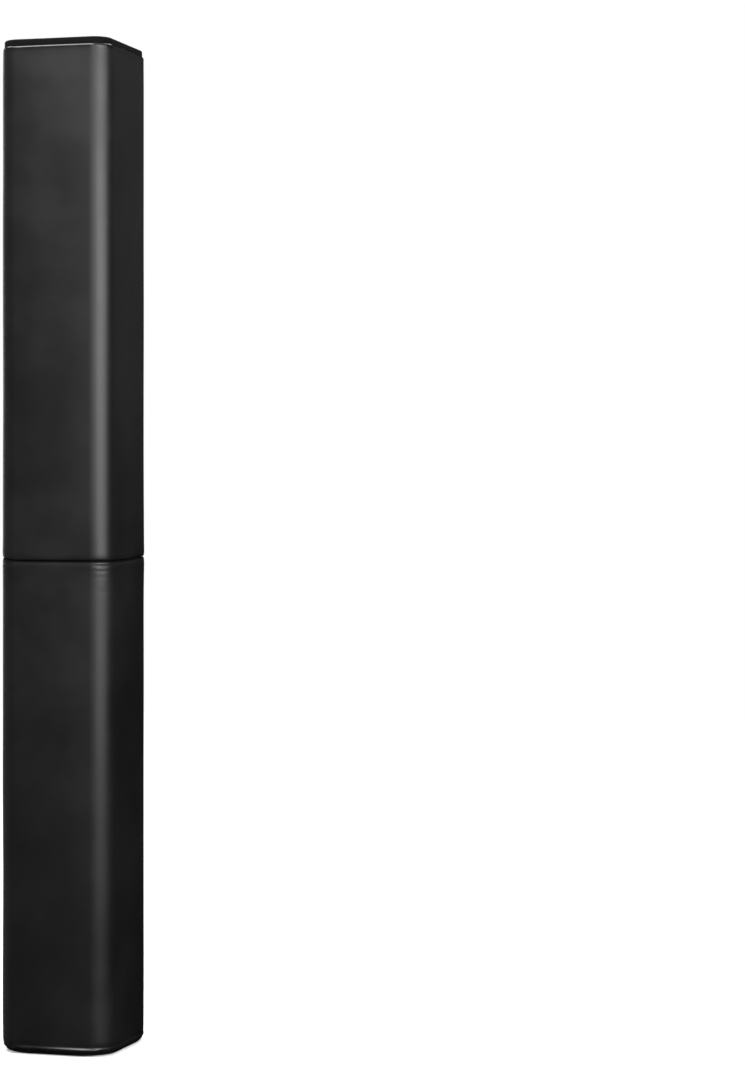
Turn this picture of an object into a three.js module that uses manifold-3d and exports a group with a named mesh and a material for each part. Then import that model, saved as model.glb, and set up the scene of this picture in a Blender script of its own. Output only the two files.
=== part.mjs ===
// Wrap-around pad for a square goal pole, in millimetres, with +Z up.
// Two padded sections stand one on the other. Each is a wrap of five padded panels, which fold
// about the skin of the rounded corners and close at the back with a hook and loop flap.
// The origin is on the pole's axis at floor level, and the front face looks along -Y.
import * as THREE from 'three';
import Module from 'manifold-3d';

const wasm = await Module();
wasm.setup();

// The pole and the wall of padding round it
const pole_side = 101.6;
const pole_clearance = 0.8;
const foam_thickness = 50.8;
const cover_thickness = 1;
const liner_thickness = 1;
const seat_gap = 0.3;

// The two sections
const lower_section_height = 889;
const upper_section_height = 939.5;

// The rounded corners, and the mitres that let the wrap fold flat
const front_corner_radius = 34;
const rear_corner_radius = 20;
const mitre_gap = 0.4;
const corner_steps = 3;
const smallest_radius = 4;

// The crown of a face, which dies out towards the ends of a section
const face_crown = 2.5;
const crown_fade = 95;
const crown_place_shares = [-0.5, 0, 0.5];
const crown_fade_shares = [0.4, 1];

// The closing edges at the back
const rear_gap = 12;
const nose_outer_radius = 8;
const nose_inner_radius = 20;
const nose_outer_steps = 2;
const nose_inner_steps = 3;

// Each end of a section: the height of its padded end panel, how far the cover rolls in at the
// seam, the height of that roll, and the fullness of the end panel's arch
const free_end = { seam_height: 13.5, seam_inset: 2.5, roll_height: 5, fullness: 2.4 };
const joint_end = { seam_height: 3, seam_inset: 3, roll_height: 5, fullness: 6 };
const floor_end = { seam_height: 8.5, seam_inset: 4, roll_height: 17, fullness: 2.6 };
const roll_angles = [90, 45, 0];
const arch_angles = [0, 25, 50, 78];
const back_draw_share = 0.1;

// The closing flap and its tapes
const flap_thickness = 1.2;
const flap_seam_width = 8;
const flap_edge_margin = 3.4;
const flap_end_margin = 14;
const flap_corner_radius = 10;
const tape_width = 38.1;
const tape_thickness = 1.5;
const tape_edge_margin = 0.5;
const tape_end_margin = 10;
const tape_corner_radius = 2;
const recess_clearance = 1.5;
const recess_ramp = 12;
const ramp_shares = [0, 0.25, 0.5, 0.75, 1];

// How far a cutting shape runs past what it cuts
const overrun = 5;

// Worked out from the sizes above
const channel_half = pole_side / 2 + pole_clearance;
const lining = liner_thickness + seat_gap;
const covering = cover_thickness + seat_gap;
const wall = covering + foam_thickness + lining;
const half_side = channel_half + wall;
const nose_flat = rear_gap / 2 + nose_outer_radius;
const flap_recess = 2 * tape_thickness + 2 * seat_gap;
const flap_root = nose_flat + flap_seam_width;
const tape_start = nose_flat + tape_edge_margin;
const tape_end = tape_start + tape_width;
const flap_reach = tape_end + flap_edge_margin;

// Colours of the cloth and foam
const vinyl = new THREE.MeshStandardMaterial({ color: 0x171718, roughness: 0.42, metalness: 0 });
const end_vinyl = new THREE.MeshStandardMaterial({ color: 0x101011, roughness: 0.7, metalness: 0 });
const lining_cloth = new THREE.MeshStandardMaterial({ color: 0x1d1d1f, roughness: 0.85, metalness: 0 });
const foam = new THREE.MeshStandardMaterial({ color: 0x8b8d8f, roughness: 0.95, metalness: 0 });
const tape_cloth = new THREE.MeshStandardMaterial({ color: 0x0c0c0d, roughness: 0.95, metalness: 0 });

function smooth(share) {
  const t = Math.min(Math.max(share, 0), 1);
  return t * t * (3 - 2 * t);
}

// A plan point holds its place along the face and its depth under the face plane.
function point(along, depth) {
  return new THREE.Vector2(along, depth);
}

// A quarter round about a centre, from one angle of the turn to the other
function roundCorner(centre, radius, from, to, steps) {
  const points = [];
  for (let step = 0; step <= steps; step += 1) {
    const angle = from + ((to - from) * step) / steps;
    points.push(point(centre.x + radius * Math.sin(angle), centre.y - radius * Math.cos(angle)));
  }
  return points;
}

// The rounded outer corner on one side of a panel, from its mitre to the flat of the face
function mitreCorner(side, corner_radius, inset, gap) {
  const radius = Math.max(corner_radius - inset, smallest_radius);
  const sweep = Math.PI / 4 - Math.asin(gap / 2 / radius);
  const centre = point(side * (half_side - inset - radius), inset + radius);
  return roundCorner(centre, radius, side * sweep, 0, corner_steps);
}

// Where the mitre plane meets a plane at this depth
function mitreEnd(side, depth, gap) {
  return point(side * (half_side - depth - gap / Math.SQRT2), depth);
}

// A whole panel between two mitres. Its path runs round the outer skin, and its back closes it.
function wholePanel(inset, crown, left_radius, right_radius) {
  const bulge = (share) => crown * face_crown * Math.cos((Math.PI * share) / 2) ** 2;
  const middle = (left_radius - right_radius) / 2;
  const half_flat = half_side - (left_radius + right_radius) / 2;
  const face = crown_place_shares.map((share) =>
    point(middle + share * half_flat, inset.outer - bulge(share)));
  const path = [
    ...mitreCorner(-1, left_radius, inset.outer, inset.mitre),
    ...face,
    ...mitreCorner(1, right_radius, inset.outer, inset.mitre).reverse(),
  ];
  const back_depth = wall - inset.inner;
  const back = [mitreEnd(1, back_depth, inset.mitre), mitreEnd(-1, back_depth, inset.mitre)];
  return { path, back };
}

// The drawn-in part of a rear face, from the flat of the face to the floor under the flap
function recessPoints(outer, recess) {
  const inner_end = flap_reach + recess_clearance;
  return ramp_shares.map((share) =>
    point(-inner_end - recess_ramp * (1 - share), outer + recess * smooth(share)));
}

// Half a rear panel, from its mitre on the -X side to its rounded closing edge
function halfPanel(inset, recess) {
  const edge = -rear_gap / 2 - inset.outer;
  const front_depth = inset.outer + recess;
  const back_depth = wall - inset.inner;
  const front_radius = Math.max(nose_outer_radius - inset.outer, smallest_radius);
  const back_radius = Math.max(nose_inner_radius - inset.outer, smallest_radius);
  const front_centre = point(edge - front_radius, front_depth + front_radius);
  const back_centre = point(edge - back_radius, back_depth - back_radius);
  const face = recess > 0 ? recessPoints(inset.outer, recess) : [];
  const path = [
    ...mitreCorner(-1, rear_corner_radius, inset.outer, inset.mitre),
    ...face,
    ...roundCorner(front_centre, front_radius, 0, Math.PI / 2, nose_outer_steps),
    ...roundCorner(back_centre, back_radius, Math.PI / 2, Math.PI, nose_inner_steps),
  ];
  return { path, back: [mitreEnd(-1, back_depth, inset.mitre)] };
}

// The same outline seen in a mirror, still turning the same way
function mirrored(outline) {
  const flip = (points) => points.map((p) => point(-p.x, p.y)).reverse();
  return { path: flip(outline.path), back: flip(outline.back) };
}

// The five panels: their quarter turns about the pole, the corner radii on their two sides and,
// for a rear half, the depth of the recess under the flap and whether it is seen in a mirror
const panels = {
  front: { turns: 0, radii: [front_corner_radius, front_corner_radius] },
  right_side: { turns: 1, radii: [front_corner_radius, rear_corner_radius] },
  right_rear: { turns: 2, half: true, recess: 0, flipped: false },
  left_rear: { turns: 2, half: true, recess: flap_recess, flipped: true },
  left_side: { turns: 3, radii: [rear_corner_radius, front_corner_radius] },
};

function panelOutline(panel, inset, crown) {
  if (!panel.half) {
    return wholePanel(inset, crown, ...panel.radii);
  }
  const outline = halfPanel(inset, panel.recess);
  return panel.flipped ? mirrored(outline) : outline;
}

// A plan point raised to its height, in the frame of the front panel
function raise(p, z) {
  return new THREE.Vector3(p.x, p.y - half_side, z);
}

// A closed skin through loops of equal length, each turning left seen from above, stacked upwards.
// From the place called back_from on, a loop runs back along the inside, and the faces are split
// the other way there, so that an inside bends in the same folds as its outside.
function loft(loops, cap, back_from = Infinity) {
  const count = loops[0].length;
  const indices = [];
  for (let row = 0; row + 1 < loops.length; row += 1) {
    for (let i = 0; i < count; i += 1) {
      const next = (i + 1) % count;
      const a = row * count + i;
      const b = row * count + next;
      const c = (row + 1) * count + next;
      const d = (row + 1) * count + i;
      if (i < back_from) {
        indices.push(a, b, c, a, c, d);
      } else {
        indices.push(a, b, d, b, c, d);
      }
    }
  }
  const top = (loops.length - 1) * count;
  for (const [a, b, c] of cap) {
    indices.push(a, c, b);
    indices.push(top + a, top + b, top + c);
  }
  const geometry = new THREE.BufferGeometry();
  geometry.setFromPoints(loops.flat());
  geometry.setIndex(indices);
  return geometry;
}

// Caps a solid whose end loops are flat
function flatCap(loop) {
  const plan = loop.map((p) => new THREE.Vector2(p.x, p.y));
  return THREE.ShapeUtils.triangulateShape(plan, []);
}

// Caps a strip whose loop runs out along one skin and back along the other
function stripCap(count) {
  const cap = [];
  for (let i = 0; i + 1 < count; i += 1) {
    const back = 2 * count - 1 - i;
    cap.push([i, i + 1, back - 1], [i, back - 1, back]);
  }
  return cap;
}

// Stations of a section's outer skin from its lower seam to its upper seam. Each has its inset,
// its height, the direction into the padding and the strength of the crown there.
function skinStations(section) {
  const roll = (end, angle, seam, up) => {
    const turn = THREE.MathUtils.degToRad(angle);
    const into = new THREE.Vector2(end.roll_height * Math.cos(turn), end.seam_inset * Math.sin(turn));
    into.normalize();
    return {
      inset: end.seam_inset * (1 - Math.cos(turn)),
      z: seam + up * end.roll_height * (1 - Math.sin(turn)),
      into_face: into.x,
      into_height: up * into.y,
      crown: 0,
    };
  };
  const flat = (z, crown) => ({ inset: 0, z, into_face: 1, into_height: 0, crown });
  const low_seam = section.bottom.seam_height;
  const high_seam = section.height - section.top.seam_height;
  const low_flat = low_seam + section.bottom.roll_height;
  const high_flat = high_seam - section.top.roll_height;
  const low = roll_angles.map((angle) => roll(section.bottom, angle, low_seam, 1));
  const high = roll_angles.map((angle) => roll(section.top, angle, high_seam, -1));
  const low_fade = crown_fade_shares.map((share) => flat(low_flat + share * crown_fade, smooth(share)));
  const high_fade = crown_fade_shares.map((share) => flat(high_flat - share * crown_fade, smooth(share)));
  return [...low, ...low_fade, ...high_fade.reverse(), ...high.reverse()];
}

// The plan outline of a skin station, moved into the padding by a depth. The core keeps clear of
// the liner, and the cover's closing edge draws in a little at its seams on the pole's side too.
function stationOutline(panel, station, depth, is_core) {
  const shift = depth * station.into_face;
  const inner = is_core ? lining : shift + back_draw_share * station.inset;
  const inset = { outer: station.inset + shift, inner, mitre: mitre_gap };
  const outline = panelOutline(panel, inset, station.crown);
  const z = station.z + depth * station.into_height;
  return {
    path: outline.path.map((p) => raise(p, z)),
    back: outline.back.map((p) => raise(p, z)),
  };
}

// The outer cover: vinyl round the face, the corners and the closing edge, rolled in at the seams
function coverGeometry(panel, section) {
  const loops = skinStations(section).map((station) => {
    const outside = stationOutline(panel, station, 0, false).path;
    const inside = stationOutline(panel, station, cover_thickness, false).path;
    return [...outside, ...inside.reverse()];
  });
  const count = loops[0].length / 2;
  return loft(loops, stripCap(count), count);
}

// Loops over the arch of an end panel, drawn in by a depth from its outer surface.
// The arch rises from the seam, by the distances in its end's sizes.
function archLoops(panel, end, depth, base, gap, seam, up) {
  const outer_start = end.seam_inset + seat_gap + depth;
  const inner_start = back_draw_share * end.seam_inset + seat_gap + depth;
  const half_width = (wall - outer_start - inner_start) / 2;
  const rise = end.seam_height - depth;
  const power = 2 / end.fullness;
  const last = THREE.MathUtils.degToRad(arch_angles.at(-1));
  const row = (draw, height) => {
    const inset = { outer: outer_start + draw, inner: inner_start + draw, mitre: gap };
    const outline = panelOutline(panel, inset, 0);
    const z = seam + up * height;
    return [...outline.path, ...outline.back].map((p) => raise(p, z));
  };
  const arch = arch_angles.map((angle) => {
    const turn = THREE.MathUtils.degToRad(angle);
    const draw = half_width * (1 - Math.cos(turn) ** power);
    return row(draw, rise * (Math.sin(turn) / Math.sin(last)) ** power);
  });
  const loops = [row(0, -base), ...arch];
  return up > 0 ? loops : loops.reverse();
}

// The foam core, a seat's gap inside the cover, the liner and both end panels
function foamGeometry(panel, section) {
  const low_seam = section.bottom.seam_height;
  const high_seam = section.height - section.top.seam_height;
  const middle = skinStations(section).map((station) => {
    const outline = stationOutline(panel, station, covering, true);
    return [...outline.path, ...outline.back];
  });
  const low = archLoops(panel, section.bottom, covering, cover_thickness, mitre_gap, low_seam, -1);
  const high = archLoops(panel, section.top, covering, cover_thickness, mitre_gap, high_seam, 1);
  const loops = [...low, ...middle, ...high];
  return loft(loops, flatCap(loops[0]));
}

function toSolid(geometry) {
  const vertProperties = new Float32Array(geometry.getAttribute('position').array);
  const triVerts = new Uint32Array(geometry.getIndex().array);
  return new wasm.Manifold(new wasm.Mesh({ numProp: 3, vertProperties, triVerts }));
}

function toGeometry(solid) {
  const mesh = solid.getMesh();
  const geometry = new THREE.BufferGeometry();
  geometry.setAttribute('position', new THREE.BufferAttribute(mesh.vertProperties, 3));
  geometry.setIndex(new THREE.BufferAttribute(mesh.triVerts, 1));
  return geometry;
}

// An end panel: an arched vinyl shell over the end of the foam, open on the mitres
function endGeometry(panel, end, seam, up) {
  const skirt = cover_thickness - seat_gap;
  const outside = archLoops(panel, end, 0, skirt, mitre_gap, seam, up);
  const inside = archLoops(panel, end, cover_thickness, skirt + overrun, -overrun, seam, up);
  const shell = toSolid(loft(outside, flatCap(outside[0])));
  const hollow = toSolid(loft(inside, flatCap(inside[0])));
  return toGeometry(shell.subtract(hollow));
}

// The liner: a flat sheet of cloth against the pole
function linerGeometry(panel, section) {
  const low = section.bottom.seam_height + cover_thickness;
  const high = section.height - section.top.seam_height - cover_thickness;
  const free_edge = rear_gap / 2 + nose_inner_radius + seat_gap;
  const front_depth = wall - liner_thickness;
  const near = [mitreEnd(-1, front_depth, mitre_gap), mitreEnd(-1, wall, mitre_gap)];
  const far = panel.half
    ? [point(-free_edge, front_depth), point(-free_edge, wall)]
    : [mitreEnd(1, front_depth, mitre_gap), mitreEnd(1, wall, mitre_gap)];
  const plan = [near[0], far[0], far[1], near[1]];
  const turned = panel.flipped ? plan.map((p) => point(-p.x, p.y)).reverse() : plan;
  const loops = [low, high].map((z) => turned.map((p) => raise(p, z)));
  return loft(loops, flatCap(loops[0]));
}

// A strip of cloth on the back, with its free corners rounded, standing between two heights
function backStrip(from, to, low, high, thickness, radii) {
  const shape = new THREE.Shape();
  shape.moveTo(from, low + radii.near);
  shape.quadraticCurveTo(from, low, from + radii.near, low);
  shape.lineTo(to - radii.far, low);
  shape.quadraticCurveTo(to, low, to, low + radii.far);
  shape.lineTo(to, high - radii.far);
  shape.quadraticCurveTo(to, high, to - radii.far, high);
  shape.lineTo(from + radii.near, high);
  shape.quadraticCurveTo(from, high, from, high - radii.near);
  shape.closePath();
  const settings = { depth: thickness, bevelEnabled: false, curveSegments: 4 };
  const geometry = new THREE.ExtrudeGeometry(shape, settings);
  geometry.rotateX(Math.PI / 2);
  return geometry;
}

function piece(name, geometry, material) {
  const mesh = new THREE.Mesh(geometry, material);
  mesh.name = name;
  return mesh;
}

// One padded panel, turned about the pole to its own side
function makePanel(section_name, panel_name, section) {
  const panel = panels[panel_name];
  const prefix = `${section_name}_${panel_name}`;
  const high_seam = section.height - section.top.seam_height;
  const top_end = endGeometry(panel, section.top, high_seam, 1);
  const bottom_end = endGeometry(panel, section.bottom, section.bottom.seam_height, -1);
  const group = new THREE.Group();
  group.add(piece(`${prefix}_foam`, foamGeometry(panel, section), foam));
  group.add(piece(`${prefix}_cover`, coverGeometry(panel, section), vinyl));
  group.add(piece(`${prefix}_liner`, linerGeometry(panel, section), lining_cloth));
  group.add(piece(`${prefix}_top_end`, top_end, end_vinyl));
  group.add(piece(`${prefix}_bottom_end`, bottom_end, end_vinyl));
  group.rotation.z = (panel.turns * Math.PI) / 2;
  return group;
}

// The flap is sewn to the right rear panel, and its tapes grip over the left rear panel.
function makeClosure(section_name, section) {
  const low = section.bottom.seam_height + flap_end_margin;
  const high = section.height - section.top.seam_height - flap_end_margin;
  const tape_low = low + tape_end_margin;
  const tape_high = high - tape_end_margin;
  const flap_radii = { near: flap_corner_radius, far: tape_corner_radius };
  const tape_radii = { near: tape_corner_radius, far: tape_corner_radius };
  const flap = piece(
    `${section_name}_closing_flap`,
    backStrip(-flap_reach, flap_root, low, high, flap_thickness, flap_radii),
    vinyl,
  );
  flap.position.y = half_side + seat_gap + flap_thickness;
  const tape = (name) => piece(
    `${section_name}_${name}`,
    backStrip(-tape_end, -tape_start, tape_low, tape_high, tape_thickness, tape_radii),
    tape_cloth,
  );
  const hook = tape('hook_tape');
  hook.position.y = half_side;
  const loop = tape('loop_tape');
  loop.position.y = half_side - tape_thickness - seat_gap;
  const group = new THREE.Group();
  group.add(flap, hook, loop);
  return group;
}

function makeSection(section_name, section) {
  const group = new THREE.Group();
  for (const panel_name of Object.keys(panels)) {
    group.add(makePanel(section_name, panel_name, section));
  }
  group.add(makeClosure(section_name, section));
  return group;
}

const lower = makeSection('lower', {
  height: lower_section_height,
  bottom: floor_end,
  top: joint_end,
});
const upper = makeSection('upper', {
  height: upper_section_height,
  bottom: joint_end,
  top: free_end,
});
upper.position.z = lower_section_height + seat_gap;

const pole_pad = new THREE.Group();
pole_pad.add(lower, upper);

export default pole_pad;
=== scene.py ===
"""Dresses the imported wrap-around pad of a square goal pole.

Two padded sections stand one on the other. Each is a wrap of foam cores under vinyl skins, with
arched end panels, a woven lining against the pole, and a flap with hook and loop tape at the back.
Lengths are in metres, +Z is up and the front face looks along -Y.
"""
import logging
import math
from dataclasses import dataclass
from enum import Enum
from typing import Callable, Sequence

import bmesh
import bpy
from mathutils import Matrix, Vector, noise


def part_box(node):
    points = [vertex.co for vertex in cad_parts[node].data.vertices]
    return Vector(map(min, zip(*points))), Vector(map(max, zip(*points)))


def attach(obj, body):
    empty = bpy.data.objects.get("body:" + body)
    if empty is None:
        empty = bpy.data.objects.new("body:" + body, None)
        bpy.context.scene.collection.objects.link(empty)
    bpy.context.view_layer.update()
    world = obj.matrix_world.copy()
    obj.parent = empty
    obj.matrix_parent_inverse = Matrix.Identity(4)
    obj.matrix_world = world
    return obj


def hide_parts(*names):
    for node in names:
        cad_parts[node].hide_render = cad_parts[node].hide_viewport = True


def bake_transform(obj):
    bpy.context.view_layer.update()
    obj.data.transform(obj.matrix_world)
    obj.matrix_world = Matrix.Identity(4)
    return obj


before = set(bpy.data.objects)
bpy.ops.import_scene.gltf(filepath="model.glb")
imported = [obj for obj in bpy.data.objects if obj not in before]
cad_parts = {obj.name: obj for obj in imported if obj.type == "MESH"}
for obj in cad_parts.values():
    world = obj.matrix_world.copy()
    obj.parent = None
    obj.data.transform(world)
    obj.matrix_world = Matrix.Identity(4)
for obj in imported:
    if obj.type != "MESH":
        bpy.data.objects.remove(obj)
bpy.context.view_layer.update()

Pair = tuple[float, float]
Shade = tuple[float, float, float]
Piece = bpy.types.Object
Tree = bpy.types.NodeTree
Socket = bpy.types.NodeSocket

MM = 0.001
QUARTER = math.pi / 2
ROOT_HALF = math.sqrt(0.5)
SHEET_ANGLE = math.radians(40)
WHITE = (1, 1, 1, 1)
log = logging.getLogger("pad")


class Look(Enum):
    """The finishes that the pieces wear. All but the thread's are slots of the record too."""

    VINYL = "vinyl"
    END_VINYL = "end_vinyl"
    LINING = "lining"
    FOAM = "foam"
    TAPE = "tape"
    THREAD = "thread"


class Pattern(Enum):
    """The surface patterns, each a shader group."""

    PEBBLE = "pebble grain"
    WEAVE = "plain weave"
    CELLS = "open cells"
    PATCHES = "handling patches"


class End(Enum):
    """The two ends of a section, with the way that each looks."""

    TOP = ("top", 1)
    BOTTOM = ("bottom", -1)

    def __init__(self, label: str, way: int) -> None:
        """Keeps the label and the way."""
        self.label = label
        self.way = way


class Panel(Enum):
    """The five panels of a wrap, with their quarter turns about the pole."""

    FRONT = ("front", 0)
    RIGHT_SIDE = ("right_side", 1)
    RIGHT_REAR = ("right_rear", 2)
    LEFT_REAR = ("left_rear", 2)
    LEFT_SIDE = ("left_side", 3)

    def __init__(self, label: str, turns: int) -> None:
        """Keeps the label and the turns."""
        self.label = label
        self.turns = turns

    @property
    def nose_side(self) -> int:
        """The side that the closing edge is on, seen as a front panel, or 0 where there is none."""
        return {"left_rear": 1, "right_rear": -1}.get(self.label, 0)

    def home(self, x: float, y: float) -> Vector:
        """Turns a plan vector of the front panel to this panel's place.

        Args:
            x: to the right of the front panel.
            y: away from the viewer.

        Returns:
            The turned vector.
        """
        for _ in range(self.turns):
            x, y = -y, x
        return Vector((x, y))


def smooth(share: float) -> float:
    """Eases a share from 0 to 1, level at both ends."""
    t = min(max(share, 0.0), 1.0)
    return t * t * (3 - 2 * t)


def shares(length: float, pitch: float) -> list[float]:
    """Spaces shares from 0 to 1 evenly, at about a pitch along a length."""
    steps = max(2, round(length / pitch))
    return [step / steps for step in range(steps + 1)]


def lengths(points: Sequence[Vector]) -> list[float]:
    """Gives the distances along a line of points.

    Args:
        points: of the line, in order.

    Returns:
        Each point's distance from the start.
    """
    total = [0.0]
    for before, after in zip(points, points[1:]):
        total.append(total[-1] + (after - before).length)
    return total


def deselect_all() -> None:
    """Leaves nothing selected, in object mode."""
    if bpy.context.object is not None and bpy.context.object.mode != "OBJECT":
        bpy.ops.object.mode_set(mode="OBJECT")
    bpy.ops.object.select_all(action="DESELECT")


def apply_modifiers(piece: Piece) -> None:
    """Applies every modifier on a piece, in order.

    Args:
        piece: which is left selected alone and active.
    """
    deselect_all()
    piece.select_set(True)
    bpy.context.view_layer.objects.active = piece
    for modifier in list(piece.modifiers):
        bpy.ops.object.modifier_apply(modifier=modifier.name)


@dataclass(frozen=True)
class Spacing:
    """Steps that are close at both ends of a stretch, and widen by a share of the way from there."""

    least: float
    most: float
    growth: float

    def over(self, low: float, high: float) -> list[float]:
        """Spaces a stretch.

        Args:
            low: where it starts.
            high: where it ends.

        Returns:
            The places in rising order, both ends among them.
        """
        half = (high - low) / 2
        offsets = [0.0]
        while offsets[-1] < half:
            offsets.append(offsets[-1] + min(self.most, self.least + self.growth * offsets[-1]))
        offsets = [offset * half / offsets[-1] for offset in offsets]
        return [low + offset for offset in offsets] + [high - offset for offset in offsets[-2::-1]]


@dataclass(frozen=True)
class Place:
    """One place on the wrap's outline in plan.

    out is the direction out of the padding, crown the share of the face's crown, bend how far the
    place is round a corner, and draw the share of a seam's inset that reaches it.
    """

    spot: Vector
    out: Vector
    crown: float = 0.0
    bend: float = 0.0
    draw: float = 1.0


@dataclass(frozen=True)
class WrapPlan:
    """The wrap's outline in plan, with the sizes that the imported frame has."""

    half_side: float
    channel_half: float
    front_radius: float = 34 * MM
    rear_radius: float = 20 * MM
    rear_gap: float = 12 * MM
    nose_outer_radius: float = 8 * MM
    nose_inner_radius: float = 20 * MM
    nose_draw: float = 0.1
    recess: float = 3.6 * MM
    recess_end: float = 57.5 * MM
    recess_ramp: float = 12 * MM
    mitre_gap: float = 0.4 * MM
    least_radius: float = 4 * MM
    spacing: float = 5 * MM
    corner_step: float = 2.6 * MM

    @property
    def wall(self) -> float:
        """The thickness of the padding."""
        return self.half_side - self.channel_half

    def radii(self, panel: Panel) -> Pair:
        """The corner radii at a panel's left and right end, seen from outside."""
        fronts = (panel in (Panel.FRONT, Panel.RIGHT_SIDE), panel in (Panel.FRONT, Panel.LEFT_SIDE))
        return tuple(self.front_radius if front else self.rear_radius for front in fronts)

    def flat(self, panel: Panel) -> list[Place]:
        """Lays out the crowned flat of a whole panel.

        Args:
            panel: which one.

        Returns:
            Its places, from its left corner to its right one.
        """
        left, right = self.radii(panel)
        start, end = left - self.half_side, self.half_side - right
        places = []
        for share in shares(end - start, self.spacing):
            x = start + (end - start) * share
            crown = self.crown_at(x, left if x < 0 else right)
            places.append(Place(panel.home(x, -self.half_side), panel.home(0, -1), crown))
        return places

    def crown_at(self, along: float, radius: float) -> float:
        """The share of the crown at a distance along a face from its middle, corners included."""
        reach = self.half_side - radius + radius * QUARTER / 2
        return (1 - min(abs(along) / reach, 1.0) ** 3) ** 2

    def corner(self, panel: Panel) -> list[Place]:
        """Lays out the rounded corner at the right end of a panel.

        Args:
            panel: which one.

        Returns:
            Its places, without a crown where the corner belongs to a rear panel.
        """
        radius = self.radii(panel)[1]
        centre = self.half_side - radius
        places = []
        for share in shares(radius * QUARTER, self.corner_step):
            angle = QUARTER * share
            out = panel.home(math.sin(angle), -math.cos(angle))
            along = centre + radius * min(angle, QUARTER - angle)
            rear = panel is Panel.RIGHT_SIDE if 2 * angle > QUARTER else panel is Panel.LEFT_REAR
            crown = 0.0 if rear else self.crown_at(along, radius)
            spot = panel.home(centre, -centre) + out * radius
            places.append(Place(spot, out, crown, math.sin(2 * angle)))
        return places

    def recess_at(self, x: float) -> float:
        """How deep the left rear face is drawn in under the flap, at a distance from the middle."""
        return self.recess * (1 - smooth((x - self.recess_end) / self.recess_ramp))

    def rear_half(self, panel: Panel) -> list[Place]:
        """Lays out a rear half, from the end of its corner round its closing edge to the pole.

        Args:
            panel: the rear half.

        Returns:
            The places, the other way round for the left half, so that both turn anticlockwise.
        """
        side = panel.nose_side
        recess = self.recess if side > 0 else 0.0
        edge = self.rear_gap / 2
        outer, inner = self.nose_outer_radius, self.nose_inner_radius
        start, end = self.half_side - self.rear_radius, edge + outer
        points = []
        for share in shares(start - end, self.spacing):
            x = start + (end - start) * share
            points.append((x, self.recess_at(x) if side > 0 else 0.0, 0.0, -1.0, 1.0))
        for share in shares(outer * QUARTER, self.corner_step)[1:]:
            sine, cosine = math.sin(QUARTER * share), math.cos(QUARTER * share)
            points.append((end - outer * sine, recess + outer * (1 - cosine), -sine, -cosine, 1.0))
        straight = self.wall - inner - outer - recess
        for share in shares(straight, self.spacing)[1:-1]:
            points.append((edge, recess + outer + straight * share, -1.0, 0.0, 1.0))
        for share in shares(inner * QUARTER, self.corner_step):
            sine, cosine = math.sin(QUARTER * share), math.cos(QUARTER * share)
            points.append((edge + inner * (1 - cosine), self.wall - inner + inner * sine,
                           -cosine, sine, 1 + (self.nose_draw - 1) * share))
        places = []
        for x, depth, out_x, out_y, draw in points:
            spot = panel.home(side * x, depth - self.half_side)
            places.append(Place(spot, panel.home(side * out_x, out_y), draw=draw))
        return places[::-side]


@dataclass(frozen=True)
class EndForm:
    """One end of a section: its roll at the seam and the arch of its end panel.

    turn is how far the roll turns in, lap how far the cover reaches over the edge of the end panel,
    past the seam, tension how tightly it is drawn there, from 0 to 1, and tight_reach how far from
    the seam that shows.
    """

    seam_inset: float
    roll_height: float
    fullness: float
    pucker: float = 0.0
    lap: float = 0.0
    turn: float = QUARTER
    tension: float = 0.0
    tight_reach: float = 6 * MM

    def inset(self, share: float) -> float:
        """How far the roll draws the cover in, at a share of its height from 0 to 1 at the seam."""
        angle = math.asin(min(max(share, 0.0), 1.0) * math.sin(self.turn))
        return self.seam_inset * (1 - math.cos(angle)) / (1 - math.cos(self.turn))


@dataclass(frozen=True)
class Crease:
    """A crease round a section's corners, by its drop below the upper seam, its depth and its width."""

    drop: float
    depth: float
    width: float


@dataclass(frozen=True)
class Row:
    """One height on a skin, with its inset at the seam and the strength of the crown there."""

    z: float
    inset: float
    fade: float


@dataclass(frozen=True)
class Section:
    """One padded section of the pad."""

    name: str
    low_seam: float
    high_seam: float
    low_end: float
    high_end: float
    bottom: EndForm
    top: EndForm
    creases: tuple[Crease, ...] = ()
    roll_steps: int = 7
    crown_fade: float = 60 * MM
    row_spacing: Spacing = Spacing(1.5 * MM, 8 * MM, 0.06)
    least_crown: float = 0.5

    def rows(self) -> list[Row]:
        """Spaces a skin's rows.

        Returns:
            The rows, from the lower seam to the upper one.
        """
        low = self.low_seam + self.bottom.roll_height
        high = self.high_seam - self.top.roll_height
        middle = [Row(z, 0.0, self.fade(min(z - low, high - z))) for z in self.row_spacing.over(low, high)]
        upper_roll = self.roll(self.top, self.high_seam, -1)
        return self.roll(self.bottom, self.low_seam, 1) + middle + upper_roll[::-1]

    def roll(self, form: EndForm, seam: float, up: int) -> list[Row]:
        """Spaces the rows of the roll at a seam.

        Args:
            form: of this end.
            seam: its height.
            up: 1 where the roll leads up from the seam, and -1 where it leads down.

        Returns:
            The rows, counted from the seam.
        """
        rows = []
        for step in range(self.roll_steps):
            share = math.sin(form.turn * (1 - step / self.roll_steps)) / math.sin(form.turn)
            height = (form.roll_height + form.lap) * (1 - share) - form.lap
            rows.append(Row(seam + up * height, form.inset(share), self.least_crown))
        return rows

    def fade(self, reach: float) -> float:
        """The strength of the crown at a distance from the roll."""
        return self.least_crown + (1 - self.least_crown) * smooth(reach / self.crown_fade)

    def inset_at(self, z: float) -> float:
        """Gives how far the roll at the nearer seam draws the cover in.

        Args:
            z: the height.

        Returns:
            The inset, which is 0 between the rolls.
        """
        for form, reach in ((self.top, self.high_seam - z), (self.bottom, z - self.low_seam)):
            if reach < form.roll_height:
                return form.inset(1 - max(reach, 0.0) / form.roll_height)
        return 0.0


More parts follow.
